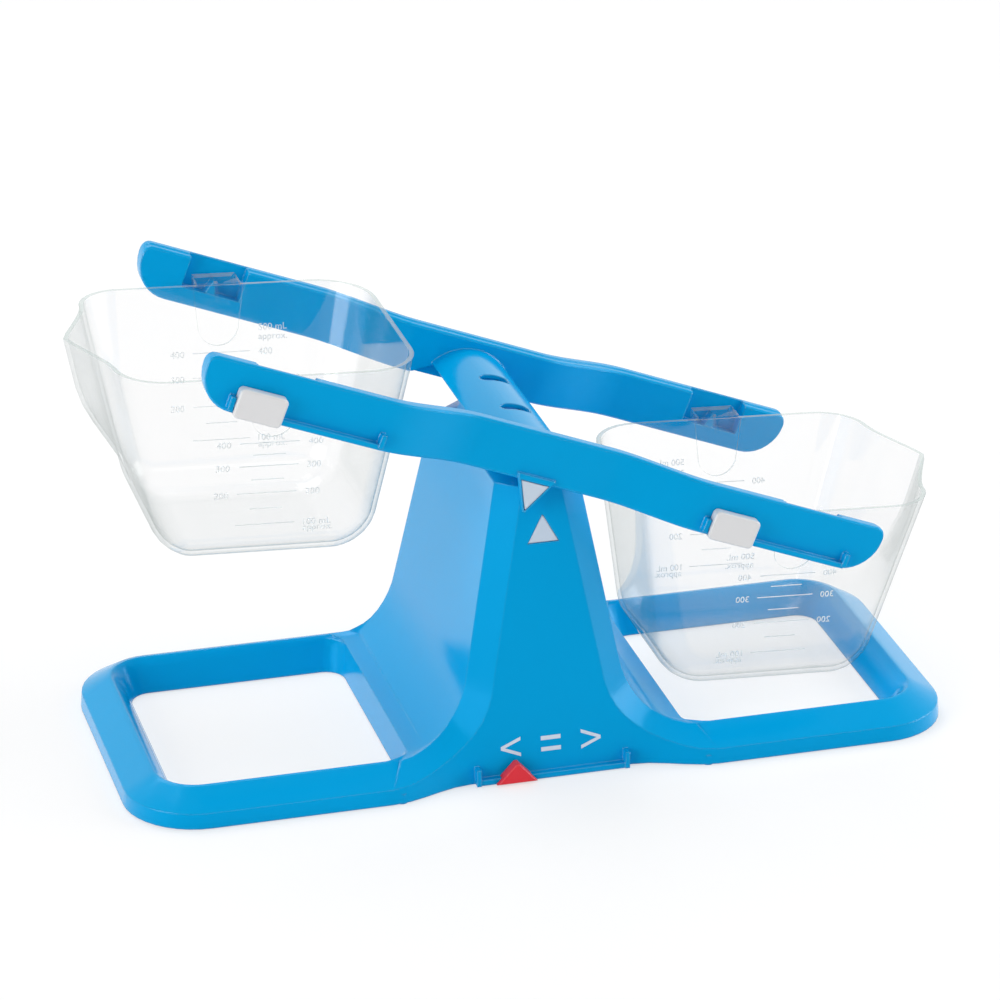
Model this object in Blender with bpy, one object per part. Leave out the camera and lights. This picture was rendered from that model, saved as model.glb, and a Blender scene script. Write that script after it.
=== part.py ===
"""Bucket balance: a tilting beam on a moulded tower, with two clear hanging measuring buckets.

Metres, +Z up, +X to the right along the base, -Y towards the front. The table is at z = 0.
The beam rests on its right-hand stop. Everything below is worked out in millimetres and
scaled to metres when the meshes are made.
"""

import math

import bmesh
import bpy
from mathutils import Matrix, Vector

MM = 0.001
MERGE = 0.0005
# How far a shape runs into the one it joins, and a cutter past the face it cuts
OVERLAP = 1.0

# Fits
SEAT_GAP = 0.3
SLIDE_GAP = 0.3

# Base frame: a roof-shaped rail run round a rounded rectangle, open underneath
BASE_LENGTH = 365.0
BASE_WIDTH = 156.0
BASE_CORNER = 32.0
RAIL_WIDTH = 22.7
RAIL_WALL = 2.2
RAIL_RIDGE_IN = 0.6
RAIL_RIDGE_HEIGHT = 6.8
RAIL_CREST_IN = 13.0
RAIL_CREST_HEIGHT = 14.0
RAIL_FACET_IN = 18.3
RAIL_FACET_HEIGHT = 10.0
CREST_ROUND_OUT = 1.2
CREST_ROUND_OUT_DROP = 0.4
CREST_FLAT = 0.8
CREST_ROUND_IN = 2.2
CREST_ROUND_IN_DROP = 0.8
WAIST_DEPTH = 9.5
WAIST_FLAT = 36.0
WAIST_END = 72.0
WAIST_TUCK = 2.4
WAIST_TUCK_END = 50.0
NUB_HEIGHT = 0.5
NUB_IN = 3.2
NUB_ROOT = 4.0
NUB_RADIUS = 2.6
NUB_X = 68.0

# Tower
FRONT_LEAN = math.tan(math.radians(7.7))
FRONT_FOOT = 67.6
FLARE_HEIGHT = 60.0
BAND_FADE_HEIGHT = 20.0
SHOULDER_HEIGHT = 127.5
SHOULDER_HALF = 18.5
SHOULDER_PANEL = 8.4
BEND_HEIGHT = 46.0
BEND_HALF = 33.6
BEND_PANEL = 23.6
PANEL_SWEEP_BULGE = 6.0
SIDE_SWEEP_BULGE = 4.0
BEVEL_DEPTH = 8.0
BACK_SPREAD = 4.6
BACK_SPREAD_OVER = 18.0
FOOT_START_X = 34.0
FOOT_CORNER_OUT = 5.0
FOOT_LIP_TURN = 9.0
FOOT_LIP_END = 2.0
FOOT_LIP_X = 61.0
FOOT_OPENING_X = 63.2
FOOT_FILLET = 9.0
FOOT_FILLET_TOP = 13.0
PANEL_STEPS = 10
PANEL_CROWD = 0.5
HOLLOW_STEPS = 5
SHOULDER_WALL = 3.52
HOLLOW_START_X = 30.0
CROWN_HALF = 14.0
CROWN_DEPTH = 43.0
CROWN_EDGE = 0.35
CROWN_TAPER = 0.94
COLLAR_LIFT = 1.5
WEB_THICK = 2.0
WEB_LIFT = 5.0

# Beam, in its own frame: u along it and v up, measured from the fulcrum
TILT = math.radians(21.06)
PIVOT_HEIGHT = 147.3
HOOK_U = 121.9
HOOK_DROP = 1.6
BEAM_HALF = 156.3
BEAM_TOP = 6.5
BEAM_BOTTOM = -15.5
BAR_THICK = 7.5
BAR_INNER_END = 62.0
BAR_INNER_MIDDLE = 51.3
BAR_BEND_START = 30.0
BAR_BEND_END = 75.0
BAR_STEP = 0.5
BAR_CHAMFER = 0.8
END_RADIUS = 15.6
END_TOP_RADIUS = 3.4
POCKET_HALF = 13.4
POCKET_DEPTH = 5.2
POCKET_FLOOR = -8.0
KNIFE_HALF = 2.5
KNIFE_TIP = 0.25
KNIFE_ROOT = 0.5
KNIFE_SET_BACK = 0.4
KNIFE_END_ROOT = 0.8
ARCH_TOP = 2.1
ARCH_RADIUS = 22.0
ARCH_SPREAD = math.radians(60.0)
ARCH_WALL = 1.8
ARCH_NOTCH_U = 29.0
ARCH_NOTCH_DEEP = 4.0
ARCH_NOTCH_LONG = 3.0
ARCH_HOLE_U = -2.3
ARCH_HOLE_Y = 16.9
ARCH_HOLE_LONG = 13.4
ARCH_HOLE_WIDE = 6.6
BEARING_Y = 30.0
BEARING_THICK = 4.0
BEARING_REACH = 8.5
BEARING_CROWN = 1.6
BEARING_CORNER_DROP = 2.2
VEE_DEPTH = 1.6
VEE_FLAT = 0.8
POINTER_HALF = 8.8
POINTER_TOP = -12.5
POINTER_TIP = -29.0
POINTER_TIP_HALF = 0.5
POINTER_THICK = 3.4
POINTER_PROUD = 1.5
POINTER_INLAY_HALF = 6.3
POINTER_INLAY_TOP = -15.4
POINTER_INLAY_TIP = -27.4

# White triangular inlays in the pointer and in the tower's front face
INLAY_RECESS = 1.0
INLAY_THICK = 0.6
INLAY_TIP = 0.3
TOWER_INLAY_HALF = 6.6
TOWER_INLAY_LOW = 102.8
TOWER_INLAY_HIGH = 114.2

# Sliding weights on the front bar
LEDGE_TOP = -12.0
LEDGE_BOTTOM = -14.2
LEDGE_PROUD = 3.0
STOP_WIDTH = 2.2
STOP_PROUD = 0.4
STOP_TOP = -7.5
STOP_BOTTOM = -13.5
STOP_INNER_U = 75.3
STOP_OUTER_U = 142.2
SLIDER_LONG = 21.0
SLIDER_TALL = 12.8
SLIDER_THICK = 4.8
SLIDER_WALL = 1.0
SLIDER_CORNER = 2.0
# The front face's share of the plate's size, inside its sloping edge
SLIDER_FACE_LONG = 0.94
SLIDER_FACE_TALL = 0.92
SLIDER_EDGE = 0.6
SLIDER_BOTTOM = -15.6

# Sliding marker at the foot of the tower
MARKER_RAIL_HEIGHT = 2.5
MARKER_RAIL_PROUD = 2.6
MARKER_RAIL_HALF = 33.0
MARKER_RAIL_ROOT = 1.2
MARKER_STOP_WIDTH = 2.0
MARKER_STOP_HEIGHT = 7.7
MARKER_STOP_PROUD = 0.6
MARKER_STOP_ROOT = 1.6
MARKER_HALF = 9.0
MARKER_HEIGHT = 9.3
MARKER_LIFT = 0.3
MARKER_TIP = 0.7
MARKER_MIDDLE = 4.0
MARKER_INSET = 0.07
MARKER_EDGE = 0.5
MARKER_THICK = 4.6
MARKER_X = -16.5

# Buckets, measured from the hook's hinge line: x towards the spout, z up
RIM_ABOVE_HINGE = 1.2
BUCKET_DEPTH = 88.0
BUCKET_WALL = 1.8
BUCKET_FLOOR = 2.0
BUCKET_INNER_END = 63.7
BUCKET_OUTER_END = 64.3
BUCKET_HALF_WIDTH = 55.3
BUCKET_OUTER_SLOPE = 0.25
BUCKET_INNER_SLOPE = 0.17
BUCKET_SIDE_SLOPE = 0.13
BUCKET_INNER_CORNER = 24.0
BUCKET_OUTER_CORNER = 20.0
BUCKET_CORNER_LOSS = 0.06
BUCKET_FLOOR_RADIUS = 16.0
SPOUT_REACH = 14.5
SPOUT_HALF = 34.0
SPOUT_NOSE = 0.004
SPOUT_CURVE = 1.12
SPOUT_STRAIGHT = 22.0
SPOUT_DEPTH = 68.0
HANG_TILT = math.radians(2.9)
SHELF_HALF = 9.5
SHELF_THICK = 1.8
SHELF_END_GAP = 1.0
TAB_WIDE = 1.5
TAB_DROP = 3.0
TAB_SET_BACK = 0.5
HOOK_JOIN = 0.5
RIB_THICK = 1.6
RIB_DROP = 10.0
RIB_ROOT = 1.5
RIB_JOIN = 0.6
RIB_END_GAP = 1.0
RIB_END_DROP = 1.2
PAD_HALF = 11.0
PAD_TALL = 27.2
PAD_PROUD = 1.0
PAD_BELOW_RIM = 0.5
PAD_BOW = 9.02


def clear_scene():
    for obj in list(bpy.data.objects):
        bpy.data.objects.remove(obj, do_unlink=True)


def plastic(name, colour, roughness, alpha=1.0):
    """A moulded plastic: plain base colour, no metal, the given roughness."""
    material = bpy.data.materials.new(name)
    material.use_nodes = True
    shader = material.node_tree.nodes["Principled BSDF"]
    shader.inputs["Base Color"].default_value = (*colour, 1.0)
    shader.inputs["Roughness"].default_value = roughness
    shader.inputs["Metallic"].default_value = 0.0
    shader.inputs["Alpha"].default_value = alpha
    material.diffuse_color = (*colour, alpha)
    return material


def from_bmesh(name, bm):
    """An object from millimetre geometry, with its normals facing out."""
    bmesh.ops.remove_doubles(bm, verts=bm.verts, dist=MERGE)
    bmesh.ops.recalc_face_normals(bm, faces=bm.faces)
    bmesh.ops.scale(bm, vec=Vector((MM, MM, MM)), verts=bm.verts)
    mesh = bpy.data.meshes.new(name)
    bm.to_mesh(mesh)
    bm.free()
    obj = bpy.data.objects.new(name, mesh)
    bpy.context.scene.collection.objects.link(obj)
    return obj


def loft(loops, wrap=False):
    """A closed solid through loops with the same number of points; wrap joins last to first."""
    bm = bmesh.new()
    rows = [[bm.verts.new(point) for point in loop] for loop in loops]
    count = len(rows[0])
    pairs = list(zip(rows, rows[1:]))
    if wrap:
        pairs.append((rows[-1], rows[0]))
    for lower, upper in pairs:
        for i in range(count):
            j = (i + 1) % count
            bm.faces.new((lower[i], lower[j], upper[j], upper[i]))
    if not wrap:
        bm.faces.new(rows[0])
        bm.faces.new(list(reversed(rows[-1])))
    return bm


def prism(outline, place, near, far):
    """The outline swept from near to far; place puts (a, b, depth) into space."""
    return loft([[place(a, b, depth) for a, b in outline] for depth in (near, far)])


def along_y(a, b, depth):
    return (a, depth, b)


def along_z(a, b, depth):
    return (a, b, depth)


def along_x(a, b, depth):
    return (depth, a, b)


def box(low, high):
    outline = [(low[0], low[1]), (high[0], low[1]), (high[0], high[1]), (low[0], high[1])]
    return prism(outline, along_z, low[2], high[2])


def combine(target, shape, operation, solver="EXACT"):
    """Adds or removes a shape, an object or fresh geometry, with a Boolean, and applies it."""
    other = shape if isinstance(shape, bpy.types.Object) else from_bmesh("cutter", shape)
    other.hide_render = True
    other.display_type = "WIRE"
    modifier = target.modifiers.new("shape", "BOOLEAN")
    modifier.solver = solver
    modifier.operation = operation
    modifier.object = other
    bpy.context.view_layer.update()
    evaluated = target.evaluated_get(bpy.context.evaluated_depsgraph_get())
    made = bpy.data.meshes.new_from_object(evaluated)
    target.modifiers.clear()
    target.data = made
    bpy.data.objects.remove(other, do_unlink=True)


def add(target, shape, solver="EXACT"):
    combine(target, shape, "UNION", solver)


def cut(target, shape, solver="EXACT"):
    combine(target, shape, "DIFFERENCE", solver)


def finish(obj, name, material, sharp_degrees=32.0):
    """Names the piece, gives it its material, and shades its rounds smooth."""
    obj.name = name
    obj.data.name = name
    obj.data.materials.clear()
    obj.data.materials.append(material)
    obj.data.shade_smooth()
    obj.data.set_sharp_from_angle(angle=math.radians(sharp_degrees))
    return obj


def smooth_step(value, low, high):
    t = min(1.0, max(0.0, (value - low) / (high - low)))
    return t * t * (3.0 - 2.0 * t)


def mix(a, b, t):
    return a + (b - a) * t


# The base frame


def waist(x):
    """Distance of the front edge behind the straight edge of the base."""
    return WAIST_DEPTH * (1.0 - smooth_step(abs(x), WAIST_FLAT, WAIST_END))


def base_path():
    """Points round the outer bottom edge with the inward direction at each."""
    half_x = BASE_LENGTH / 2.0
    half_y = BASE_WIDTH / 2.0
    reach = half_x - BASE_CORNER
    points = []
    steps = 10
    corners = ((1, -1, -90), (1, 1, 0), (-1, 1, 90), (-1, -1, 180))
    for sx, sy, start in corners:
        centre = (sx * reach, sy * (half_y - BASE_CORNER))
        for i in range(steps + 1):
            angle = math.radians(start + 90.0 * i / steps)
            out = (math.cos(angle), math.sin(angle))
            points.append((centre[0] + BASE_CORNER * out[0], centre[1] + BASE_CORNER * out[1],
                           -out[0], -out[1]))
    front = []
    count = 24
    for i in range(count + 1):
        x = mix(-WAIST_END, WAIST_END, i / count)
        slope = (waist(x + 0.5) - waist(x - 0.5))
        length = math.hypot(1.0, slope)
        # The rail runs on inside the tower's front, a little behind its face.
        tuck = WAIST_TUCK * (1.0 - smooth_step(abs(x), WAIST_TUCK_END, WAIST_END))
        front.append((x, -half_y + waist(x) + tuck, -slope / length, 1.0 / length))
    return points + front


def rail_profile(wall, low):
    """The rail's section as (distance in, height), outer side first; wall thins it for the hollow.

    Each corner moves in by the share of the wall that keeps the sloping sides between them
    one wall thick.
    """
    crest = RAIL_CREST_HEIGHT - wall * 1.15
    return [
        (wall, low),
        (RAIL_RIDGE_IN + wall, RAIL_RIDGE_HEIGHT - wall * 0.45),
        (RAIL_CREST_IN - wall * 0.1 - CREST_ROUND_OUT, crest - CREST_ROUND_OUT_DROP),
        (RAIL_CREST_IN - wall * 0.1 + CREST_FLAT, crest),
        (RAIL_CREST_IN - wall * 0.3 + CREST_ROUND_IN, crest - CREST_ROUND_IN_DROP),
        (RAIL_FACET_IN - wall * 0.75, RAIL_FACET_HEIGHT - wall * 0.6),
        (RAIL_WIDTH - wall, low),
    ]


def rail_ring(wall, low):
    profile = rail_profile(wall, low)
    loops = []
    for x, y, inward_x, inward_y in base_path():
        loops.append([(x + inward_x * d, y + inward_y * d, z) for d, z in profile])
    return loft(loops, wrap=True)


# The tower


def tower_levels():
    """Steps down the tower: height of the front edge, its half width, then the side edge."""
    levels = []
    straight = 5
    for i in range(straight + 1):
        t = i / straight
        height = mix(SHOULDER_HEIGHT, BEND_HEIGHT, t)
        levels.append((height, mix(SHOULDER_PANEL, BEND_PANEL, t),
                       height, mix(SHOULDER_HALF, BEND_HALF, t)))
    # Below that both edges sweep outwards: the front edge to the rail's outer ridge, and the
    # side edge to the lip of the opening beside the tower.
    sweep = 10
    for i in range(1, sweep + 1):
        angle = math.radians(90.0 * i / sweep)
        down = math.sin(angle)
        out = 1.0 - math.cos(angle)
        bulge = math.sin(angle) * math.cos(angle)
        front_z = mix(BEND_HEIGHT, RAIL_RIDGE_HEIGHT, down ** 0.9)
        front_x = mix(BEND_PANEL, WAIST_END, out ** 1.15) + PANEL_SWEEP_BULGE * bulge
        side_z = mix(BEND_HEIGHT, RAIL_CREST_HEIGHT, down)
        side_x = mix(BEND_HALF, FOOT_LIP_X, out) + SIDE_SWEEP_BULGE * bulge
        levels.append((front_z, front_x, side_z, side_x))
    return levels


def front_y(x, z):
    """The front face: leaning back, and swinging out to the rail's outer band near the foot."""
    foot = BASE_WIDTH / 2.0 - waist(x)
    fade = 1.0 - smooth_step(z, 0.0, FLARE_HEIGHT)
    leaning = FRONT_FOOT + (foot - FRONT_FOOT) * fade - z * FRONT_LEAN
    band = foot - RAIL_RIDGE_IN * z / RAIL_RIDGE_HEIGHT
    join = smooth_step(abs(x), WAIST_TUCK_END, WAIST_END)
    join *= 1.0 - smooth_step(z, RAIL_RIDGE_HEIGHT, BAND_FADE_HEIGHT)
    return -mix(leaning, band, join)


def tower_loop(level, wall, steps, bottom=None):
    """One closed line round the tower, from the front's middle to the right and round.

    The level gives the front edge's height and half width, then the side edge's; bottom, when
    given, drops the whole line to one height.
    """
    front_z, front_x, side_z, side_x = level
    side_steps = 6
    foot = smooth_step(front_x, FOOT_START_X, WAIST_END)
    half_panel = max(front_x - wall * 0.75, 1.0)
    half_side = max(side_x - wall, 0.8)
    z_front = front_z if bottom is None else bottom
    z_side = side_z if bottom is None else bottom
    quarter = []
    for i in range(steps + 1):
        # The points stand above one another up to the panel's edge, and crowd beside it.
        x = min(WAIST_END * i / steps, half_panel - PANEL_CROWD * (steps - i))
        quarter.append((x, front_y(x, z_front) + wall, z_front))
    side_y = front_y(0.0, side_z) + BEVEL_DEPTH
    side_y = mix(side_y, -(BASE_WIDTH / 2.0 - RAIL_CREST_IN), foot)
    corner_x = half_side + FOOT_CORNER_OUT * foot
    corner_y = side_y + wall * 0.9
    edge_x = half_side + (FOOT_OPENING_X - FOOT_LIP_X if bottom is not None else 0.0)
    lip = FOOT_LIP_TURN * foot
    front_half = quarter + [(corner_x, corner_y, z_side)]
    for i in range(1, side_steps):
        t = i / side_steps
        swing = math.sin(math.radians(90.0 * t))
        front_half.append((mix(corner_x, edge_x, swing), corner_y + lip * t, z_side))
    front_half.append((edge_x, corner_y + lip + FOOT_LIP_END, z_side))
    below = SHOULDER_HEIGHT - side_z
    spread = BACK_SPREAD * (1.0 - foot) * smooth_step(below, 0.0, BACK_SPREAD_OVER)
    right = list(front_half)
    for x, y, z in reversed(front_half):
        wide = spread if x > half_panel + 0.01 else 0.0
        right.append((x + wide, -y, z))
    left = [(-x, y, z) for x, y, z in reversed(right[1:-1])]
    return right + left


def tower_crown(level):
    """The two lines above the shoulder: the collar, and the edge that the beam rests on."""
    shoulder = tower_loop(level, 0.0, PANEL_STEPS)
    narrow = CROWN_HALF / SHOULDER_HALF
    short = CROWN_DEPTH / abs(front_y(0.0, SHOULDER_HEIGHT))
    edge = PIVOT_HEIGHT - SEAT_GAP / 2.0
    collar = [(x * narrow, y * short, z + COLLAR_LIFT) for x, y, z in shoulder]
    ridge = []
    for x, y, z in shoulder:
        ridge.append((x / SHOULDER_HALF * CROWN_EDGE, y * short * CROWN_TAPER, edge))
    return [ridge, collar]


def tower_solid():
    levels = tower_levels()
    loops = tower_crown(levels[0])
    for level in levels:
        loops.append(tower_loop(level, 0.0, PANEL_STEPS))
    loops.append(tower_loop(levels[-1], 0.0, PANEL_STEPS, 0.0))
    return loft(loops)


def tower_hollow():
    """The inside of the shell, a wall's thickness in from the tower's faces and its top."""
    levels = tower_levels()
    loops = []
    for i, (front_z, front_x, side_z, side_x) in enumerate(levels):
        drop = RAIL_WALL * 1.1 * smooth_step(front_x, HOLLOW_START_X, WAIST_END)
        if i == 0:
            drop += SHOULDER_WALL
        level = (front_z - drop, front_x, side_z - drop, side_x)
        loops.append(tower_loop(level, RAIL_WALL, HOLLOW_STEPS))
    loops.append(tower_loop(levels[-1], RAIL_WALL, HOLLOW_STEPS, -1.0))
    return loft(loops)


def foot_fillet(side_x, side_y):
    """The rounded corner of a foot opening, between the tower's foot and the rail."""
    lip = FOOT_OPENING_X - FOOT_LIP_X
    loops = []
    for height, depth_in in ((0.0, RAIL_WIDTH), (RAIL_FACET_HEIGHT, RAIL_FACET_IN),
                             (FOOT_FILLET_TOP, RAIL_CREST_IN + CREST_ROUND_IN)):
        corner_x = FOOT_OPENING_X - lip * height / RAIL_CREST_HEIGHT
        corner_y = BASE_WIDTH / 2.0 - depth_in
        ring = [(corner_x + FOOT_FILLET, corner_y + OVERLAP),
                (corner_x - OVERLAP, corner_y + OVERLAP),
                (corner_x - OVERLAP, corner_y - FOOT_FILLET)]
        for i in range(7):
            angle = math.radians(180.0 - 15.0 * i)
            ring.append((corner_x + FOOT_FILLET * (1.0 + math.cos(angle)),
                         corner_y - FOOT_FILLET * (1.0 - math.sin(angle))))
        loops.append([(side_x * x, side_y * y, height) for x, y in ring])
    return loft(loops)


def on_front(a, b, depth):
    """A point on the tower's front face, depth behind it."""
    return (a, front_y(0.0, b) + depth, b)


def tower_triangle(gap):
    """The inlay's outline; gap widens it into its recess."""
    return [(-TOWER_INLAY_HALF - gap, TOWER_INLAY_LOW - gap),
            (TOWER_INLAY_HALF + gap, TOWER_INLAY_LOW - gap),
            (INLAY_TIP, TOWER_INLAY_HIGH + gap), (-INLAY_TIP, TOWER_INLAY_HIGH + gap)]


def pointer_triangle(gap):
    half = POINTER_INLAY_HALF + gap
    low = POINTER_INLAY_TIP - gap * 2.0
    return [(-half, POINTER_INLAY_TOP + gap), (-0.2 - gap * 0.5, low),
            (0.2 + gap * 0.5, low), (half, POINTER_INLAY_TOP + gap)]


def build_base(material):
    # The swept surfaces cross at shallow angles, which the exact solver leaves open.
    solver = "MANIFOLD"
    base = from_bmesh("base", rail_ring(0.0, 0.0))
    add(base, tower_solid(), solver)
    cut(base, rail_ring(RAIL_WALL, -1.0), solver)
    # The tower is hollow but for webs: one lengthwise, and one across under each bearing and
    # one between them, which carry the load of the beam's edge down.
    hollow = from_bmesh("hollow", tower_hollow())
    half = WEB_THICK / 2.0
    cut(hollow, box((-half, -BASE_WIDTH, WEB_LIFT), (half, BASE_WIDTH, PIVOT_HEIGHT)), solver)
    for middle in (-BEARING_Y, 0.0, BEARING_Y):
        cut(hollow, box((-BASE_WIDTH, middle - half, WEB_LIFT),
                        (BASE_WIDTH, middle + half, PIVOT_HEIGHT)), solver)
    cut(base, hollow, solver)
    front = -(BASE_WIDTH / 2.0 - WAIST_DEPTH)
    rail_front = front - MARKER_RAIL_PROUD
    add(base, box((-MARKER_RAIL_HALF, rail_front, 0.0),
                  (MARKER_RAIL_HALF, front + MARKER_RAIL_ROOT, MARKER_RAIL_HEIGHT)), solver)
    for side in (-1, 1):
        middle = side * MARKER_RAIL_HALF
        half = MARKER_STOP_WIDTH / 2.0
        add(base, box((middle - half, rail_front - MARKER_STOP_PROUD, 0.0),
                      (middle + half, front + MARKER_STOP_ROOT, MARKER_STOP_HEIGHT)), solver)
    for sx in (-1, 1):
        for sy in (-1, 1):
            add(base, foot_fillet(sx, sy), solver)
            ring = []
            for i in range(16):
                angle = math.radians(22.5 * i)
                ring.append((sx * NUB_X + NUB_RADIUS * math.cos(angle),
                             sy * (BASE_WIDTH / 2.0 - NUB_IN) + NUB_RADIUS * math.sin(angle)))
            add(base, prism(ring, along_z, -NUB_HEIGHT, NUB_ROOT), solver)
    cut(base, prism(tower_triangle(SEAT_GAP), on_front, -OVERLAP, INLAY_RECESS), solver)
    return finish(base, "base_tower", material, 26.0)


# The beam


def bar_inner(u):
    t = smooth_step(abs(u), BAR_BEND_START, BAR_BEND_END)
    return mix(BAR_INNER_MIDDLE, BAR_INNER_END, t)


def bar_top(u):
    past = abs(u) - (BEAM_HALF - END_TOP_RADIUS)
    if past <= 0.0:
        return BEAM_TOP
    return BEAM_TOP - END_TOP_RADIUS + math.sqrt(max(0.0, END_TOP_RADIUS ** 2 - past ** 2))


def bar_bottom(u):
    past = abs(u) - (BEAM_HALF - END_RADIUS)
    if past <= 0.0:
        return BEAM_BOTTOM
    return BEAM_BOTTOM + END_RADIUS - math.sqrt(max(0.0, END_RADIUS ** 2 - past ** 2))


def bar_stations():
    stations = [0.0, BAR_BEND_START * 0.5]
    bend = 12
    for i in range(bend + 1):
        stations.append(mix(BAR_BEND_START, BAR_BEND_END, i / bend))
    start = BEAM_HALF - END_RADIUS
    stations.append(start)
    for i in range(1, 10):
        stations.append(start + END_RADIUS * math.sin(math.radians(10.0 * i)))
    stations.append(BEAM_HALF)
    return [-u for u in reversed(stations[1:])] + stations


def bar(side):
    loops = []
    for u in bar_stations():
        inner = bar_inner(u)
        outer = inner + BAR_THICK
        middle = inner + BAR_THICK * 0.45
        top = bar_top(u)
        low = bar_bottom(u)
        section = [
            (inner, low + BAR_CHAMFER),
            (inner + BAR_CHAMFER, low),
            (outer - BAR_CHAMFER, low),
            (outer, low + BAR_CHAMFER),
            (outer, top - BAR_CHAMFER),
            (outer - BAR_CHAMFER, top),
            (middle + BAR_STEP, top),
            (middle, top - BAR_STEP),
            (inner + BAR_CHAMFER, top - BAR_STEP),
            (inner, top - BAR_STEP - BAR_CHAMFER),
        ]
        loops.append([(u, side * y, v) for y, v in section])
    return loft(loops)


def arc(radius, spread, steps):
    """Points on an arc about the saddle's axis, from left to right."""
    points = []
    for i in range(steps + 1):
        angle = mix(-spread, spread, i / steps)
        points.append((radius * math.sin(angle),
                       ARCH_TOP - ARCH_RADIUS + radius * math.cos(angle)))
    return points


def arch_outline():
    """The saddle's section: a wall of even thickness bent round an arc."""
    outer = arc(ARCH_RADIUS, ARCH_SPREAD, 24)
    inner = arc(ARCH_RADIUS - ARCH_WALL, ARCH_SPREAD, 24)
    return outer + list(reversed(inner))


def notch_outline():
    """The saddle's hollow as it runs on into a bar, widening to the bar's lower edge."""
    low = BEAM_BOTTOM - OVERLAP
    return [(-ARCH_NOTCH_U, low)] + arc(ARCH_RADIUS - ARCH_WALL, ARCH_SPREAD, 12) + [
        (ARCH_NOTCH_U, low)]


def rounded_rectangle(half_a, half_b, radius, steps=5):
    points = []
    for sa, sb, start in ((1, -1, -90), (1, 1, 0), (-1, 1, 90), (-1, -1, 180)):
        for i in range(steps + 1):
            angle = math.radians(start + 90.0 * i / steps)
            points.append((sa * (half_a - radius) + radius * math.cos(angle),
                           sb * (half_b - radius) + radius * math.sin(angle)))
    return points


def bearing_outline():
    """A web under the saddle's crown with the shallow vee that sits on the tower's edge."""
    reach = BEARING_REACH
    top = ARCH_TOP - ARCH_WALL * 0.5
    corner = top - BEARING_CORNER_DROP
    vee = SEAT_GAP / 2.0
    low = vee - VEE_DEPTH
    return [(-reach, corner), (-BEARING_CROWN, top), (BEARING_CROWN, top), (reach, corner),
            (reach, low), (VEE_FLAT, vee), (-VEE_FLAT, vee), (-reach, low)]


def build_beam(material):
    beam = from_bmesh("beam", bar(-1))
    add(beam, bar(1))
    span = BAR_INNER_MIDDLE + OVERLAP
    add(beam, prism(arch_outline(), along_y, -span, span))
    for side in (-1, 1):
        ys = sorted((side * (BAR_INNER_MIDDLE - ARCH_NOTCH_LONG),
                     side * (BAR_INNER_MIDDLE + ARCH_NOTCH_DEEP)))
        cut(beam, prism(notch_outline(), along_y, ys[0], ys[1]))
    for side in (-1, 1):
        middle = side * BEARING_Y
        half = BEARING_THICK / 2.0
        add(beam, prism(bearing_outline(), along_y, middle - half, middle + half))
    hole = rounded_rectangle(ARCH_HOLE_LONG / 2.0, ARCH_HOLE_WIDE / 2.0,
                             ARCH_HOLE_WIDE / 2.0 - 0.05)
    for side in (-1, 1):
        shape = [(a + ARCH_HOLE_U, b + side * ARCH_HOLE_Y) for a, b in hole]
        cut(beam, prism(shape, along_z, -9.0, ARCH_TOP + 4.0))
    for side_u in (-1, 1):
        for side_y in (-1, 1):
            middle = side_u * HOOK_U
            ys = sorted((side_y * (BAR_INNER_END - OVERLAP),
                         side_y * (BAR_INNER_END + POCKET_DEPTH)))
            cut(beam, box((middle - POCKET_HALF, ys[0], POCKET_FLOOR),
                          (middle + POCKET_HALF, ys[1], BEAM_TOP + 2.0)))
            knife = [(middle - KNIFE_HALF, POCKET_FLOOR - KNIFE_ROOT),
                     (middle + KNIFE_HALF, POCKET_FLOOR - KNIFE_ROOT),
                     (middle + KNIFE_TIP, -HOOK_DROP), (middle - KNIFE_TIP, -HOOK_DROP)]
            ys = sorted((side_y * (BAR_INNER_END + KNIFE_SET_BACK),
                         side_y * (BAR_INNER_END + POCKET_DEPTH + KNIFE_END_ROOT)))
            add(beam, prism(knife, along_y, ys[0], ys[1]))
    face = -(BAR_INNER_END + BAR_THICK)
    for side in (-1, 1):
        ends = sorted((side * STOP_INNER_U, side * STOP_OUTER_U))
        add(beam, box((ends[0], face - LEDGE_PROUD, LEDGE_BOTTOM),
                      (ends[1], face + OVERLAP, LEDGE_TOP)))
        for where in (STOP_INNER_U, STOP_OUTER_U):
            half = STOP_WIDTH / 2.0
            add(beam, box((side * where - half, face - LEDGE_PROUD - STOP_PROUD, STOP_BOTTOM),
                          (side * where + half, face + OVERLAP, STOP_TOP)))
    mid_face = -(BAR_INNER_MIDDLE + BAR_THICK)
    front = mid_face - POINTER_PROUD
    tab = [(-POINTER_HALF, POINTER_TOP), (-POINTER_TIP_HALF, POINTER_TIP),
           (POINTER_TIP_HALF, POINTER_TIP), (POINTER_HALF, POINTER_TOP)]
    add(beam, prism(tab, along_y, front, front + POINTER_THICK))
    cut(beam, prism(pointer_triangle(SEAT_GAP), along_y, front - OVERLAP, front + INLAY_RECESS))
    return finish(beam, "beam", material, 30.0)


def build_tower_inlay(material):
    near = INLAY_RECESS - SEAT_GAP - INLAY_THICK
    inlay = from_bmesh("tower_inlay", prism(tower_triangle(0.0), on_front, near,
                                            near + INLAY_THICK))
    return finish(inlay, "tower_inlay", material)


def build_pointer_inlay(material):
    front = -(BAR_INNER_MIDDLE + BAR_THICK) - POINTER_PROUD
    near = front + INLAY_RECESS - SEAT_GAP - INLAY_THICK
    inlay = from_bmesh("pointer_inlay", prism(pointer_triangle(0.0), along_y, near,
                                              near + INLAY_THICK))
    return finish(inlay, "pointer_inlay", material)


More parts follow.
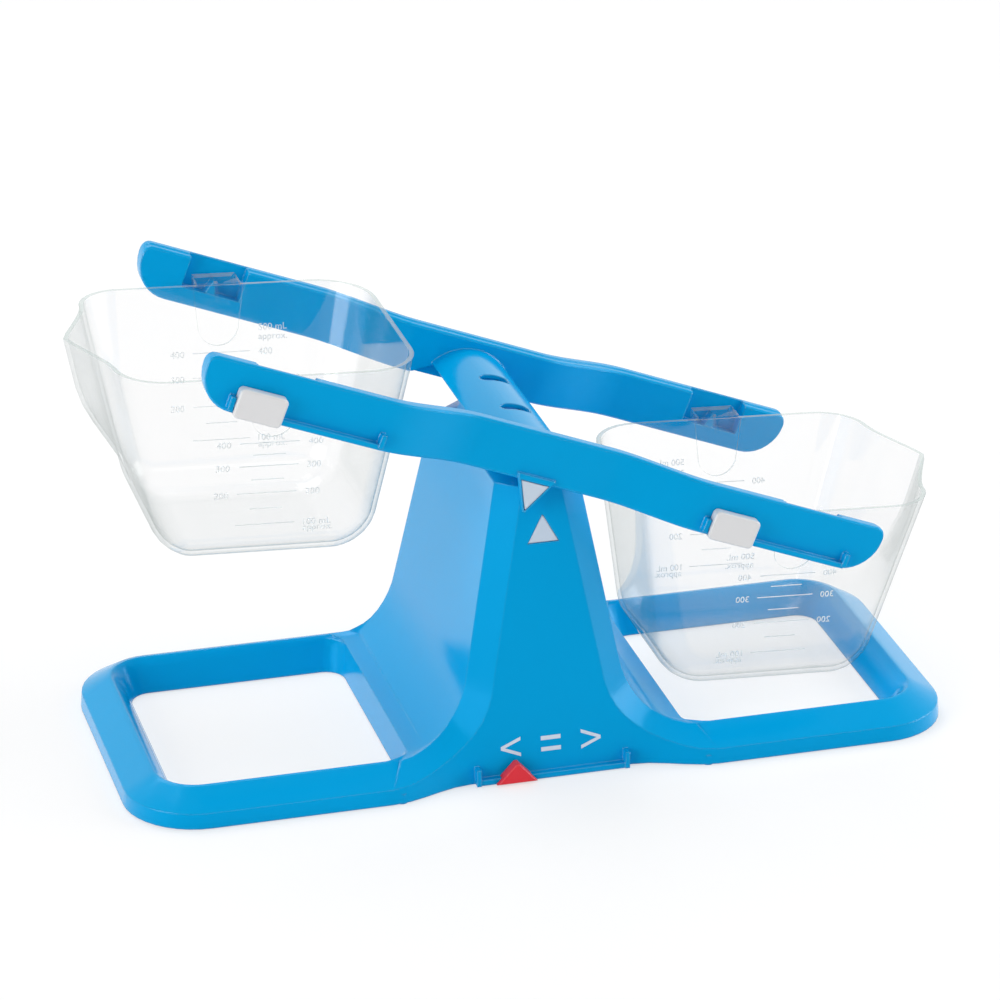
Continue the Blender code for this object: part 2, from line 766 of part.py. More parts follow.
def build_slider(name, material):
    face = -(BAR_INNER_END + BAR_THICK) - SEAT_GAP
    outline = rounded_rectangle(SLIDER_LONG / 2.0, SLIDER_TALL / 2.0, SLIDER_CORNER)
    middle_v = SLIDER_BOTTOM + SLIDER_TALL / 2.0
    plate = [(a, b + middle_v) for a, b in outline]
    inset = [(a * SLIDER_FACE_LONG, b * SLIDER_FACE_TALL + middle_v) for a, b in outline]
    front = face - SLIDER_THICK
    bm = loft([[(a, face, b) for a, b in plate], [(a, front + SLIDER_EDGE, b) for a, b in plate],
               [(a, front, b) for a, b in inset]])
    slider = from_bmesh(name, bm)
    half = SLIDER_TALL / 2.0 - SLIDER_WALL
    reach = SLIDER_LONG / 2.0 - SLIDER_WALL
    cut(slider, box((-reach, front + SLIDER_WALL, middle_v - half),
                    (reach, face + OVERLAP, middle_v + half)))
    cut(slider, box((-SLIDER_LONG, face - LEDGE_PROUD, LEDGE_BOTTOM - SLIDE_GAP),
                    (SLIDER_LONG, face + OVERLAP, LEDGE_TOP + SLIDE_GAP)))
    return finish(slider, name, material, 28.0)


def build_marker(material):
    front = -(BASE_WIDTH / 2.0 - WAIST_DEPTH)
    back = front - SLIDE_GAP
    face = back - MARKER_THICK
    outline = [(-MARKER_HALF, MARKER_LIFT), (MARKER_HALF, MARKER_LIFT),
               (MARKER_TIP, MARKER_HEIGHT), (-MARKER_TIP, MARKER_HEIGHT)]
    inset = [(a * (1.0 - MARKER_INSET), mix(b, MARKER_MIDDLE, MARKER_INSET)) for a, b in outline]
    bm = loft([[(a, back, b) for a, b in outline],
               [(a, face + MARKER_EDGE, b) for a, b in outline],
               [(a, face, b) for a, b in inset]])
    marker = from_bmesh("marker", bm)
    reach = MARKER_HALF + OVERLAP
    cut(marker, box((-reach, front - MARKER_RAIL_PROUD - SLIDE_GAP, -OVERLAP),
                    (reach, front + OVERLAP, MARKER_RAIL_HEIGHT + SLIDE_GAP)))
    return finish(marker, "marker", material, 28.0)


# The buckets


def bucket_outline(depth, inset):
    """The bucket's outline at a depth below the rim, spout towards +x, drawn in by inset."""
    inner = BUCKET_INNER_END - BUCKET_INNER_SLOPE * depth - inset
    outer = BUCKET_OUTER_END - BUCKET_OUTER_SLOPE * depth - inset
    half = BUCKET_HALF_WIDTH - BUCKET_SIDE_SLOPE * depth - inset
    loss = BUCKET_CORNER_LOSS * depth + inset
    reach = SPOUT_REACH * (1.0 - smooth_step(depth, SPOUT_STRAIGHT, SPOUT_DEPTH))
    points = []
    for sx, sy, start in ((1, -1, -90), (1, 1, 0), (-1, 1, 90), (-1, -1, 180)):
        end = outer if sx > 0 else inner
        radius = max(4.0, (BUCKET_OUTER_CORNER if sx > 0 else BUCKET_INNER_CORNER) - loss)
        for i in range(9):
            angle = math.radians(start + 90.0 * i / 8)
            points.append([sx * (end - radius) + radius * math.cos(angle),
                           sy * (half - radius) + radius * math.sin(angle)])
        if (sx, sy) == (1, -1):
            edge = half - radius
            for i in range(1, 12):
                points.append([outer, mix(-edge, edge, i / 12)])
    for point in points:
        if point[0] > 0.0:
            side = abs(point[1]) / SPOUT_HALF
            rise = max(0.0, 1.0 - math.sqrt(side * side + SPOUT_NOSE))
            point[0] += reach * rise ** SPOUT_CURVE
    return points


def bucket_loops(wall, floor):
    loops = []
    depths = [0.0, 11.0, SPOUT_STRAIGHT, 30.0, 38.0, 46.0, 54.0, 61.0, SPOUT_DEPTH,
              BUCKET_DEPTH - BUCKET_FLOOR_RADIUS]
    lift = RIM_ABOVE_HINGE
    for depth in depths:
        extra = OVERLAP if wall > 0.0 and depth == 0.0 else 0.0
        loops.append([(x, y, lift - depth + extra) for x, y in bucket_outline(depth, wall)])
    radius = BUCKET_FLOOR_RADIUS - floor * 0.6
    centre = BUCKET_DEPTH - floor - radius
    for i in range(1, 7):
        angle = math.radians(15.0 * i)
        depth = centre + radius * math.sin(angle)
        inset = wall + radius * (1.0 - math.cos(angle))
        loops.append([(x, y, lift - depth) for x, y in bucket_outline(depth, inset)])
    return loops


def pad_outline():
    points = [(-PAD_HALF, RIM_ABOVE_HINGE - PAD_BELOW_RIM)]
    bow = PAD_BOW
    low = RIM_ABOVE_HINGE - PAD_TALL
    for i in range(13):
        angle = math.radians(180.0 + 15.0 * i)
        points.append((bow * math.cos(angle), low + bow + bow * math.sin(angle)))
    points.append((PAD_HALF, RIM_ABOVE_HINGE - PAD_BELOW_RIM))
    return points


def build_bucket(name, material):
    bucket = from_bmesh(name, loft(bucket_loops(0.0, 0.0)))
    under = SEAT_GAP
    outer_end = BAR_INNER_END + POCKET_DEPTH - SHELF_END_GAP
    root = BUCKET_HALF_WIDTH - BUCKET_WALL * 0.6
    for side in (-1, 1):
        ys = sorted((side * root, side * outer_end))
        add(bucket, box((-SHELF_HALF, ys[0], under), (SHELF_HALF, ys[1], under + SHELF_THICK)))
        inner_tab = sorted((side * (BAR_INNER_END + TAB_SET_BACK), side * outer_end))
        for end in (-1, 1):
            xs = sorted((end * (SHELF_HALF - TAB_WIDE), end * SHELF_HALF))
            add(bucket, box((xs[0], inner_tab[0], under - TAB_DROP),
                            (xs[1], inner_tab[1], under + HOOK_JOIN)))
        rib_root = side * (root - RIB_ROOT)
        rib_end = side * (BAR_INNER_END - RIB_END_GAP)
        rib = [(rib_root, under + RIB_JOIN), (rib_end, under + RIB_JOIN),
               (rib_end, under - RIB_END_DROP), (rib_root, -RIB_DROP)]
        add(bucket, prism(rib, along_x, -RIB_THICK / 2.0, RIB_THICK / 2.0))
        pad = []
        slope = BUCKET_SIDE_SLOPE
        for proud in (-BUCKET_WALL * 0.5, PAD_PROUD):
            pad.append([(a, side * (BUCKET_HALF_WIDTH + proud - slope * (RIM_ABOVE_HINGE - b)), b)
                        for a, b in pad_outline()])
        add(bucket, loft(pad))
    cut(bucket, loft(bucket_loops(BUCKET_WALL, BUCKET_FLOOR)))
    return finish(bucket, name, material, 28.0)


# Putting the pieces in place


def place(obj, matrix):
    obj.matrix_world = Matrix.Translation((0.0, 0.0, NUB_HEIGHT * MM)) @ matrix


def build():
    clear_scene()
    blue = plastic("blue_abs", (0.0, 0.385, 0.760), 0.28)
    grey = plastic("white_abs", (0.68, 0.68, 0.69), 0.35)
    red = plastic("red_abs", (0.72, 0.045, 0.06), 0.35)
    clear = plastic("clear_styrene", (0.86, 0.90, 0.90), 0.06, 0.35)

    base = build_base(blue)
    place(base, Matrix.Identity(4))
    place(build_tower_inlay(grey), Matrix.Identity(4))
    marker = build_marker(red)
    place(marker, Matrix.Translation((MARKER_X * MM, 0.0, 0.0)))

    beam = build_beam(blue)
    frame = Matrix.Translation((0.0, 0.0, PIVOT_HEIGHT * MM)) @ Matrix.Rotation(TILT, 4, "Y")
    place(beam, frame)
    place(build_pointer_inlay(grey), frame)
    clear_of_stop = STOP_WIDTH / 2.0 + SLIDER_LONG / 2.0 + SLIDE_GAP
    left = build_slider("slider_left", grey)
    place(left, frame @ Matrix.Translation(((clear_of_stop - STOP_OUTER_U) * MM, 0.0, 0.0)))
    right = build_slider("slider_right", grey)
    place(right, frame @ Matrix.Translation(((STOP_INNER_U + clear_of_stop) * MM, 0.0, 0.0)))

    for name, side in (("bucket_left", -1), ("bucket_right", 1)):
        bucket = build_bucket(name, clear)
        hook = frame @ Matrix.Translation((side * HOOK_U * MM, 0.0, -HOOK_DROP * MM))
        hang = Matrix.Translation(hook.to_translation()) @ Matrix.Rotation(HANG_TILT, 4, "Y")
        turn = Matrix.Rotation(math.pi if side < 0 else 0.0, 4, "Z")
        place(bucket, hang @ turn)


build()
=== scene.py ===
import math

import bpy
from mathutils import Matrix, Vector


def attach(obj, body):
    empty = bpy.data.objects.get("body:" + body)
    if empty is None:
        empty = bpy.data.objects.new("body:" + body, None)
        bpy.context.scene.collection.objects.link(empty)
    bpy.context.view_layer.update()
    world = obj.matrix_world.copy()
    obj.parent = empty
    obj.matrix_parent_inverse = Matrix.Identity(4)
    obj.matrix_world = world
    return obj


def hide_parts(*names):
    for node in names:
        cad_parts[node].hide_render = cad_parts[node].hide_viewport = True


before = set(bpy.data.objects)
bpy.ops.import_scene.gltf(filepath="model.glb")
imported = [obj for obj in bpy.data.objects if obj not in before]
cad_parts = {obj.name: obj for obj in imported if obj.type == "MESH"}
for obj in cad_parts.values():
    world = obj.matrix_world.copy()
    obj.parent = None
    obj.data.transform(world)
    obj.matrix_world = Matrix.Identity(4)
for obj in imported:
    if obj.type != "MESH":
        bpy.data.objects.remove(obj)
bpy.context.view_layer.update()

# Base and tower
#
# One shell of sky-blue ABS, injection moulded and polished in the tool: a rail run round a
# rounded rectangle, open underneath, with a tower blended out of its middle.

MERGE_WITHIN = 0.00001
FLAT_WITHIN = math.radians(1.0)
ANY_SHAPE = math.radians(180.0)
TOWER_SMOOTH = 24.0
ABS_IOR = 1.53
TOOL_ROUND = 0.0011
ROUND_SAMPLES = 6
PEEL_SPACING_MM = 6.25
PEEL_DEEP = 0.0005
PEEL_SHARE = 0.12
# Cosines of the turn between a face and its rounded edge: where the painted highlight on the
# edge starts, and where it is full.
PAINTED_HIGHLIGHT_STARTS = 0.96
PAINTED_HIGHLIGHT_FULL = 0.8
# The colour sockets of a Mix node, which share their names with its other sockets.
MIX_A = 6
MIX_B = 7
MIX_RESULT = 2


def linear(code):
    """The linear RGBA of an sRGB hex colour."""
    values = [int(code[i:i + 2], 16) / 255.0 for i in (0, 2, 4)]
    return [v / 12.92 if v <= 0.04045 else ((v + 0.055) / 1.055) ** 2.4 for v in values] + [1.0]


def node(owner, kind, links=(), sockets=(), **settings):
    """Adds a shader node, sets its values, and links (socket, from node, its socket).

    Sockets holds (number, value), for sockets that can't be told apart by name.
    """
    made = owner.node_tree.nodes.new(kind)
    for name, value in settings.items():
        if hasattr(made, name):
            setattr(made, name, value)
        else:
            made.inputs[name.replace("_", " ")].default_value = value
    for socket, value in sockets:
        made.inputs[socket].default_value = value
    for socket, source, output in links:
        owner.node_tree.links.new(source.outputs[output], made.inputs[socket])
    return made


def moulded_plastic(name, colour, roughness, tint, edge=TOOL_ROUND):
    """A moulded plastic: even colour, faint orange peel, and edges that the tool left rounded.

    The tint colours the gloss seen face on, as deeply pigmented ABS does; at a low angle the
    gloss stays white. On the rounded edges the gloss is made white and stronger: a painted
    highlight along every edge. The peel is drawn coarser than the real one, which would be too
    fine to show.
    """
    material = bpy.data.materials.new(name)
    material.use_nodes = True
    links = material.node_tree.links
    shader = material.node_tree.nodes["Principled BSDF"]
    shader.inputs["Base Color"].default_value = linear(colour)
    shader.inputs["Roughness"].default_value = roughness
    shader.inputs["IOR"].default_value = ABS_IOR
    shader.inputs["Specular Tint"].default_value = linear(tint)
    place = node(material, "ShaderNodeTexCoord")
    peel = node(material, "ShaderNodeTexNoise", [("Vector", place, "Object")],
                Scale=1000.0 / PEEL_SPACING_MM, Detail=2.0)
    rounded = node(material, "ShaderNodeBevel", samples=ROUND_SAMPLES, Radius=edge)
    bump = node(material, "ShaderNodeBump",
                [("Height", peel, "Fac"), ("Normal", rounded, "Normal")],
                Strength=PEEL_SHARE, Distance=PEEL_DEEP)
    links.new(bump.outputs["Normal"], shader.inputs["Normal"])
    if edge > 0.0:
        # Painted highlight: on the rounded edges the gloss is turned white and stronger,
        # standing in for lamps caught there.
        flat = node(material, "ShaderNodeNewGeometry")
        turned = node(material, "ShaderNodeVectorMath",
                      [(0, rounded, "Normal"), (1, flat, "Normal")], operation="DOT_PRODUCT")
        painted_highlight_mask = node(material, "ShaderNodeMapRange", [("Value", turned, "Value")],
                       From_Min=PAINTED_HIGHLIGHT_STARTS, From_Max=PAINTED_HIGHLIGHT_FULL)
        painted_highlight_tint = node(material, "ShaderNodeMix", [("Factor", painted_highlight_mask, "Result")],
                          [(MIX_A, linear(tint)), (MIX_B, linear("ffffff"))],
                          data_type="RGBA")
        painted_highlight_gloss = node(material, "ShaderNodeMapRange", [("Value", turned, "Value")],
                     From_Min=PAINTED_HIGHLIGHT_STARTS, From_Max=PAINTED_HIGHLIGHT_FULL, To_Min=0.5, To_Max=1.0)
        links.new(painted_highlight_tint.outputs[MIX_RESULT], shader.inputs["Specular Tint"])
        links.new(painted_highlight_gloss.outputs["Result"], shader.inputs["Specular IOR Level"])
    return material


def skin(name, angle, body, material):
    """A copy of a CAD node with its points merged and its rounds shaded smooth."""
    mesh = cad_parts[name].data.copy()
    mesh.name = name + "_skin"
    piece = bpy.data.objects.new(name + "_skin", mesh)
    bpy.context.scene.collection.objects.link(piece)
    bpy.ops.object.select_all(action="DESELECT")
    piece.select_set(True)
    bpy.context.view_layer.objects.active = piece
    if mesh.has_custom_normals:
        bpy.ops.mesh.customdata_custom_splitnormals_clear()
    bpy.ops.object.mode_set(mode="EDIT")
    bpy.ops.mesh.select_all(action="SELECT")
    bpy.ops.mesh.remove_doubles(threshold=MERGE_WITHIN)
    bpy.ops.mesh.tris_convert_to_quads(face_threshold=FLAT_WITHIN, shape_threshold=ANY_SHAPE)
    bpy.ops.object.mode_set(mode="OBJECT")
    bpy.ops.object.shade_smooth_by_angle(angle=math.radians(angle))
    weighted = piece.modifiers.new("weighted", "WEIGHTED_NORMAL")
    weighted.keep_sharp = True
    bpy.ops.object.modifier_apply(modifier=weighted.name)
    mesh.materials.clear()
    mesh.materials.append(material)
    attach(piece, body)
    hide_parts(name)
    return piece


# Deeply pigmented and polished: a saturated blue with soft broad highlights, and painted
# highlights that make its edges light.
blue_abs = moulded_plastic("gloss_moulded_abs_blue", "00a4e1", 0.18, "3c96c8")
tower = skin("base_tower", TOWER_SMOOTH, "base", blue_abs)

# Printed signs
#
# Less than, equals and greater than, pad printed in pale blue ink on the foot of the tower
# above the marker's rail, and following its curve.

SIGN_WIDE = 0.0088
SIGN_TALL = 0.0087
EQUAL_TALL = 0.78
SIGN_MIDDLE = 0.0147
SIGN_SPREAD = 0.0178
SIGN_START_Y = -0.085
SIGN_DRAFT_SIZE = 0.02
SIGN_CUTS = 5
INK_THICK = 0.00008
UPRIGHT = math.radians(90.0)


def flat_text(words, size, name):
    """Words as a flat mesh about their own middle, in the x-y plane."""
    bpy.ops.object.select_all(action="DESELECT")
    bpy.ops.object.text_add(location=(0.0, 0.0, 0.0))
    made = bpy.context.object
    made.name = name
    made.data.body = words
    made.data.size = size
    made.data.resolution_u = 3
    bpy.ops.object.convert(target="MESH")
    bpy.ops.object.origin_set(type="ORIGIN_GEOMETRY", center="BOUNDS")
    made.location = (0.0, 0.0, 0.0)
    return made


def apply_place(piece):
    """Moves the piece's place, turn and size into its mesh."""
    bpy.ops.object.select_all(action="DESELECT")
    piece.select_set(True)
    bpy.context.view_layer.objects.active = piece
    bpy.ops.object.transform_apply(location=True, rotation=True, scale=True)


def wrap_back_on(piece, target, gap):
    """Lays a flat piece on the surface of a target behind it, a little way off it."""
    bpy.context.view_layer.objects.active = piece
    wrap = piece.modifiers.new("wrap", "SHRINKWRAP")
    wrap.target = target
    wrap.wrap_method = "PROJECT"
    wrap.wrap_mode = "ABOVE_SURFACE"
    wrap.use_project_y = True
    wrap.use_positive_direction = True
    wrap.offset = gap
    bpy.ops.object.modifier_apply(modifier=wrap.name)


def sign(words, name, x):
    """One printed sign on the tower's foot, cut fine enough to follow the curve."""
    made = flat_text(words, SIGN_DRAFT_SIZE, name)
    wide, tall = made.dimensions.x, made.dimensions.y
    height = SIGN_TALL * (EQUAL_TALL if words == "=" else 1.0)
    made.scale = (SIGN_WIDE / wide, height / tall, 1.0)
    made.rotation_euler = (UPRIGHT, 0.0, 0.0)
    made.location = (x, SIGN_START_Y, SIGN_MIDDLE)
    apply_place(made)
    bpy.ops.object.mode_set(mode="EDIT")
    bpy.ops.mesh.select_all(action="SELECT")
    bpy.ops.mesh.subdivide(number_cuts=SIGN_CUTS)
    bpy.ops.object.mode_set(mode="OBJECT")
    wrap_back_on(made, tower, INK_THICK)
    made.data.materials.append(ink)
    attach(made, "base")


# A thin even film of ink: matt, pale, and sharp against the gloss round it.
ink = moulded_plastic("pad_printed_pale_ink", "d9e4f2", 0.4, "ffffff", 0.0)
sign("<", "sign_less", -SIGN_SPREAD)
sign("=", "sign_equal", 0.0)
sign(">", "sign_greater", SIGN_SPREAD)

# Beam
#
# One moulding of the same blue ABS: two bars joined by a half-round saddle, with a pointer
# on the front bar.

PIECE_SMOOTH = 28.0

skin("beam", PIECE_SMOOTH, "beam", blue_abs)

# White pieces
#
# Small mouldings of white ABS: two weights that slide on the front bar's ledges, and two
# triangles set into the pointer and the tower, which look paler and bluer in their recess.
# Their colour is the white ABS with that recess shade painted in.

# Satin: a soft even white, without a clear reflection.
white_abs = moulded_plastic("satin_moulded_abs_white", "e6e6e7", 0.34, "ffffff")
# Painted shade: the inlays' white ABS, darkened with a blue cast as it looks in the recess.
white_abs_painted_recess_shade = moulded_plastic("satin_moulded_abs_white_painted_shade", "cbdaea", 0.34, "ffffff")
skin("tower_inlay", PIECE_SMOOTH, "base", white_abs_painted_recess_shade)
skin("pointer_inlay", PIECE_SMOOTH, "beam", white_abs_painted_recess_shade)
skin("slider_left", PIECE_SMOOTH, "slider_left", white_abs)
skin("slider_right", PIECE_SMOOTH, "slider_right", white_abs)

# Marker
#
# A red ABS wedge that slides along the small rail at the foot of the tower. It is moulded in
# one piece, and less polished than the base.

# A warm red that keeps its colour in its gloss.
red_abs = moulded_plastic("gloss_moulded_abs_red", "ee3c46", 0.28, "d07078")
skin("marker", PIECE_SMOOTH, "marker", red_abs)

# Buckets
#
# Clear styrene mouldings, 1.8 mm thick, polished in the tool inside and out. Both come from
# the same tool, and the left one hangs turned round.

BUCKET_SMOOTH = 20.0
STEEPNESS = 5.0
GLOSS_FACE_ON = 0.04
GLOSS_LOW_ANGLE = 0.7
POLISHED = 0.04
HANG_TILT = math.radians(2.9)
HINGES = {"bucket_left": ((-0.114333, 0.0, 0.190111), math.pi),
          "bucket_right": ((0.113183, 0.0, 0.102503), 0.0)}
# The long walls, measured from the hinge: half their spread at the rim, and their lean.
RIM_HEIGHT = 0.0012
WALL_MIDDLE = 0.0553
WALL_SLOPE = 0.13
PAD_DEPTH = 0.0012
THIN_FACE = 0.0022
RIM_BAND = 0.0003
PAD_BAND = 0.0002
FACES_UP = 0.9
FACES_SIDEWAYS = 0.5
FACES_ALONG_WALL = 0.7


def clear_plastic(name, face_on, edge_on, haze):
    """Polished clear styrene: clear face on, tinted and glossy where it is seen edge on.

    The walls are too thin to bend what is seen through them, so light passes straight on. Haze
    is the share that the skin scatters.
    """
    material = bpy.data.materials.new(name)
    material.use_nodes = True
    nodes = material.node_tree.nodes
    nodes.remove(nodes["Principled BSDF"])
    facing = node(material, "ShaderNodeLayerWeight", Blend=0.5)
    steep = node(material, "ShaderNodeMath", [("Value", facing, "Facing")],
                 [(1, STEEPNESS)], operation="POWER")
    gloss_share = node(material, "ShaderNodeMapRange", [("Value", steep, "Value")],
                       To_Min=GLOSS_FACE_ON, To_Max=GLOSS_LOW_ANGLE)
    tint = node(material, "ShaderNodeMix", [("Factor", steep, "Value")],
                [(MIX_A, linear(face_on)), (MIX_B, linear(edge_on))], data_type="RGBA")
    passed = node(material, "ShaderNodeBsdfTransparent", [("Color", tint, MIX_RESULT)])
    skin_haze = node(material, "ShaderNodeBsdfDiffuse", Color=linear("f4f8f7"))
    hazy = node(material, "ShaderNodeMixShader",
                [(1, passed, "BSDF"), (2, skin_haze, "BSDF")], [(0, haze)])
    gloss = node(material, "ShaderNodeBsdfGlossy", Roughness=POLISHED)
    both = node(material, "ShaderNodeMixShader",
                [(0, gloss_share, "Result"), (1, hazy, "Shader"), (2, gloss, "BSDF")])
    material.node_tree.links.new(both.outputs["Shader"],
                                 nodes["Material Output"].inputs["Surface"])
    return material


def wall_at(height):
    """How far out a bucket's long wall stands at a height measured from the hinge."""
    return WALL_MIDDLE - WALL_SLOPE * (RIM_HEIGHT - height)


def hang_place(bucket):
    """From a bucket's own sizes, measured from its hinge, to where it hangs."""
    hinge, turn = HINGES[bucket]
    hang = Matrix.Translation(hinge) @ Matrix.Rotation(HANG_TILT, 4, "Y")
    return hang @ Matrix.Rotation(turn, 4, "Z")


def bucket_skin(bucket):
    """The bucket, with its rim, its pads' edges and its hooks' thin edges in the edge's tint."""
    piece = skin(bucket, BUCKET_SMOOTH, bucket, clear_styrene)
    piece.data.materials.append(clear_edge)
    back = hang_place(bucket).inverted()
    for face in piece.data.polygons:
        middle = back @ face.center
        facing = back.to_3x3() @ face.normal
        wall = wall_at(middle.z)
        on_wall_top = abs(middle.y) < wall + PAD_DEPTH
        on_rim = on_wall_top and middle.z > RIM_HEIGHT - RIM_BAND and facing.z > FACES_UP
        pad_edge = (on_wall_top and abs(middle.y) > wall + PAD_BAND
                    and abs(facing.y) < FACES_ALONG_WALL)
        heights = [(back @ piece.data.vertices[corner].co).z for corner in face.vertices]
        thin = max(heights) - min(heights) < THIN_FACE
        hook_edge = not on_wall_top and thin and abs(facing.z) < FACES_SIDEWAYS
        if on_rim or pad_edge or hook_edge:
            face.material_index = 1


# Nearly invisible face on, with grey-green lines where a wall, rim or hook is seen edge on.
clear_styrene = clear_plastic("clear_moulded_styrene", "fefefe", "d2dad9", 0.004)
clear_edge = clear_plastic("clear_styrene_seen_edge_on", "e4ecea", "c0d0cc", 0.25)
bucket_skin("bucket_left")
bucket_skin("bucket_right")

# Graduations
#
# Fine raised lines and numbers moulded on both long walls of each bucket, with a frosted face.
# From the front they read the right way round on the left bucket, and reversed on the right
# one, which is the same moulding turned round.

MARK_PROUD = 0.0001
MARK_HIGH = 0.0002
MARK_MERGE_WITHIN = 0.000001
LINE_THICK = 0.00035
LETTER_SIZE = 0.0042
LONG_LINE = 0.0252
SHORT_LINE = 0.0139
# From the middle of a line to where the words beside it start, on its two sides.
WORD_START = 0.0164
TWIN_START = 0.0163
SHIFTS = {-1: -0.0013, 1: 0.0007}
# Heights from the hinge.
MARKS = ((-0.0185, "500 mL"), (-0.0236, "approx."), (-0.0292, "400"), (-0.0402, "300"),
         (-0.0530, "200"), (-0.0675, "100 mL"), (-0.0712, "approx."))
LONG_HEIGHTS = (-0.0289, -0.0398, -0.0526, -0.0675)
SHORT_HEIGHTS = (-0.0345, -0.0462, -0.0600)


def frosted_plastic(name):
    """Clear styrene with a fine spark-eroded face, which scatters white."""
    material = bpy.data.materials.new(name)
    material.use_nodes = True
    shader = material.node_tree.nodes["Principled BSDF"]
    shader.inputs["Base Color"].default_value = linear("f4f7f7")
    shader.inputs["Roughness"].default_value = 0.55
    shader.inputs["IOR"].default_value = 1.5
    shader.inputs["Transmission Weight"].default_value = 0.7
    return material


def on_wall(bucket, wall, x, z):
    """Where a mark sits: its place and its turn, from the bucket's own sizes."""
    y = wall * (wall_at(z) + MARK_PROUD)
    lean = Matrix.Rotation(-wall * math.atan(WALL_SLOPE), 4, "X")
    face = Matrix.Rotation(math.pi, 4, "Z") @ Matrix.Rotation(UPRIGHT, 4, "X")
    return hang_place(bucket) @ Matrix.Translation((x, y, z)) @ lean @ face


def line(length):
    """A fine moulded line about its own middle, in the x-y plane."""
    bpy.ops.object.select_all(action="DESELECT")
    bpy.ops.mesh.primitive_plane_add(size=1.0, location=(0.0, 0.0, 0.0))
    made = bpy.context.object
    made.name = "mark"
    made.scale = (length, LINE_THICK, 1.0)
    apply_place(made)
    return made


def graduations(bucket):
    """All the marks of a bucket as one piece, with the plain numbers on both sides of a line."""
    pieces = []
    for wall, shift in SHIFTS.items():
        for length, heights in ((LONG_LINE, LONG_HEIGHTS), (SHORT_LINE, SHORT_HEIGHTS)):
            for z in heights:
                pieces.append((line(length), on_wall(bucket, wall, shift, z)))
        for z, text in MARKS:
            word = flat_text(text, LETTER_SIZE, "mark")
            x = shift - WORD_START - word.dimensions.x / 2.0
            pieces.append((word, on_wall(bucket, wall, x, z)))
            if text.isdigit():
                twin = flat_text(text, LETTER_SIZE, "mark")
                x = shift + TWIN_START + twin.dimensions.x / 2.0
                pieces.append((twin, on_wall(bucket, wall, x, z)))
    for piece, place in pieces:
        piece.matrix_world = place
        apply_place(piece)
    bpy.ops.object.select_all(action="DESELECT")
    for piece, place in pieces:
        piece.select_set(True)
    bpy.context.view_layer.objects.active = pieces[0][0]
    bpy.ops.object.join()
    marks = bpy.context.object
    marks.name = bucket + "_marks"
    bpy.ops.object.mode_set(mode="EDIT")
    bpy.ops.mesh.select_all(action="SELECT")
    bpy.ops.mesh.remove_doubles(threshold=MARK_MERGE_WITHIN)
    bpy.ops.object.mode_set(mode="OBJECT")
    thick = marks.modifiers.new("thick", "SOLIDIFY")
    thick.thickness = MARK_HIGH
    thick.offset = 0.0
    bpy.ops.object.modifier_apply(modifier=thick.name)
    marks.data.materials.clear()
    marks.data.materials.append(frosted)
    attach(marks, bucket)


frosted = frosted_plastic("frosted_moulded_styrene")
graduations("bucket_left")
graduations("bucket_right")

# Studio
#
# A white table that runs out of sight and a white surround, as for a catalogue picture. Three
# soft boxes light the top and the sides, and a narrow strip from the front lights the edges.

CAMERA_PLACE = (-0.4855, -1.7301, 0.8894)
CAMERA_AIM = (-0.00406, 0.0, 0.10034)
CAMERA_LENS = 163.2
SENSOR_WIDE = 36.0
CAMERA_SEES = 50.0
# The surround as it is seen, and as it lights what is matt.
SURROUND_SEEN = 1.0
SURROUND_LIGHTS = 0.35
TABLE_WIDE = 12.0
TABLE_PAINT = (0.9, 0.9, 0.9, 1.0)
TABLE_GLOW = 1.16
TABLE_GLOW_SHARE = 0.5
LAMP_AIM = (0.0, 0.0, 0.1)

camera_data = bpy.data.cameras.new("camera")
camera_data.lens = CAMERA_LENS
camera_data.sensor_width = SENSOR_WIDE
camera_data.clip_end = CAMERA_SEES
camera = bpy.data.objects.new("camera", camera_data)
bpy.context.scene.collection.objects.link(camera)
camera.location = CAMERA_PLACE
aim = Vector(CAMERA_AIM) - camera.location
camera.rotation_euler = aim.to_track_quat("-Z", "Y").to_euler()
bpy.context.scene.camera = camera

world = bpy.data.worlds.new("studio")
bpy.context.scene.world = world
world.use_nodes = True
backdrop = world.node_tree.nodes["Background"]
backdrop.inputs["Color"].default_value = linear("ffffff")
rays = node(world, "ShaderNodeLightPath")
level = node(world, "ShaderNodeMapRange", [("Value", rays, "Is Diffuse Ray")],
             To_Min=SURROUND_SEEN, To_Max=SURROUND_LIGHTS)
world.node_tree.links.new(level.outputs["Result"], backdrop.inputs["Strength"])

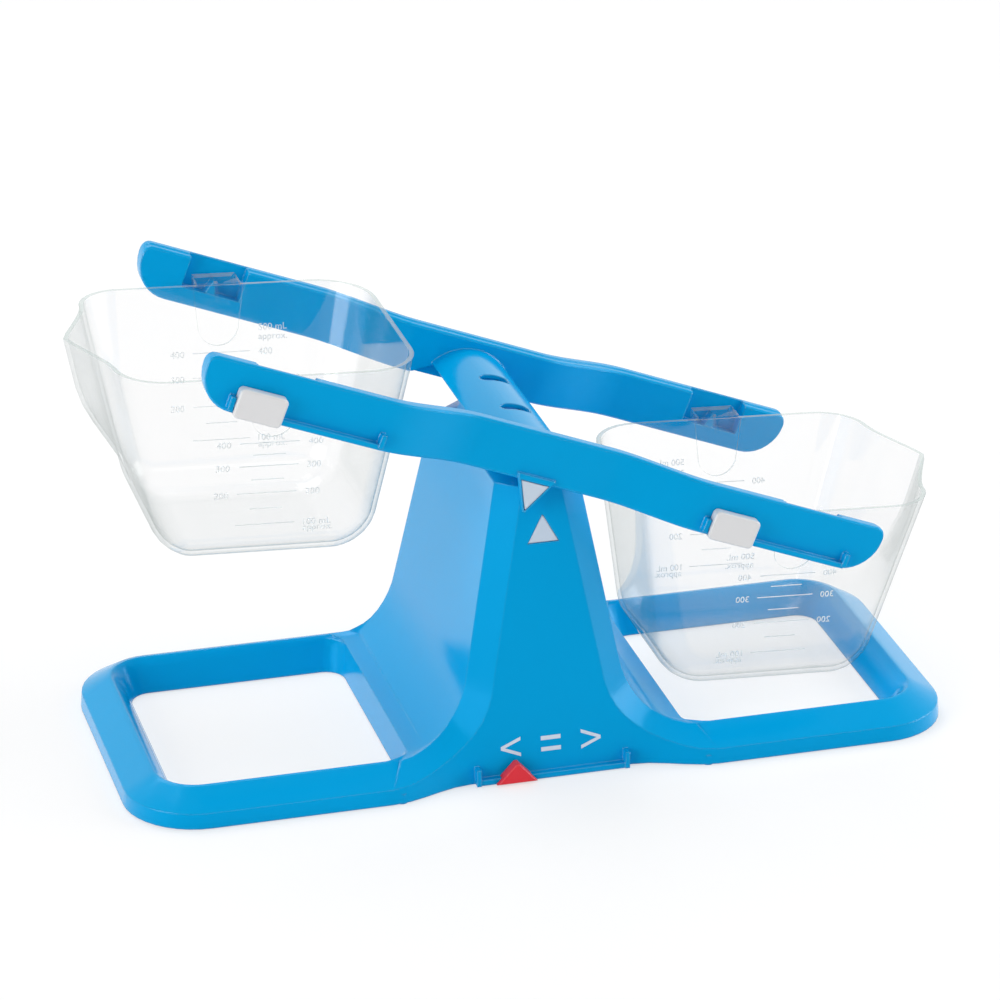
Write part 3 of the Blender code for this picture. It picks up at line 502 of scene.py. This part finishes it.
bpy.ops.mesh.primitive_plane_add(size=TABLE_WIDE, location=(0.0, 0.0, 0.0))
floor = bpy.context.object
floor.name = "floor"
# Matt white paint that glows a little, so that the table runs into the surround unseen.
table_paint = bpy.data.materials.new("white_table")
table_paint.use_nodes = True
diffuse = table_paint.node_tree.nodes["Principled BSDF"]
diffuse.inputs["Base Color"].default_value = TABLE_PAINT
diffuse.inputs["Roughness"].default_value = 0.9
diffuse.inputs["Specular IOR Level"].default_value = 0.0
glow = node(table_paint, "ShaderNodeEmission", Strength=TABLE_GLOW)
rays = node(table_paint, "ShaderNodeLightPath")
share = node(table_paint, "ShaderNodeMapRange", [("Value", rays, "Is Diffuse Ray")],
             To_Min=TABLE_GLOW_SHARE, To_Max=0.0)
lift = node(table_paint, "ShaderNodeMixShader",
            [(0, share, "Result"), (1, diffuse, "BSDF"), (2, glow, "Emission")])
table_paint.node_tree.links.new(lift.outputs["Shader"],
                                table_paint.node_tree.nodes["Material Output"].inputs["Surface"])
floor.data.materials.append(table_paint)


def softbox(name, place, watts, wide, deep=None):
    """A square area lamp that faces the object, or a strip where its depth is given."""
    data = bpy.data.lights.new(name, "AREA")
    data.shape = "RECTANGLE" if deep else "SQUARE"
    data.size = wide
    if deep:
        data.size_y = deep
    data.energy = watts
    lamp = bpy.data.objects.new(name, data)
    bpy.context.scene.collection.objects.link(lamp)
    lamp.location = place
    lamp.rotation_euler = (Vector(LAMP_AIM) - Vector(place)).to_track_quat("-Z", "Y").to_euler()


softbox("top_softbox", (-0.3, 1.0, 1.8), 18.0, 1.3)
softbox("left_softbox", (-2.0, -0.9, 0.8), 22.0, 1.4)
softbox("right_softbox", (2.0, -0.3, 0.8), 28.0, 1.4)
softbox("front_strip", (-0.2, -1.5, 1.9), 1.5, 1.8, 0.12)

bpy.context.scene.view_settings.view_transform = "Standard"
# A ray may cross many faces of the clear buckets, so more bounces than usual are let through.
bpy.context.scene.cycles.max_bounces = 24
bpy.context.scene.cycles.transparent_max_bounces = 32
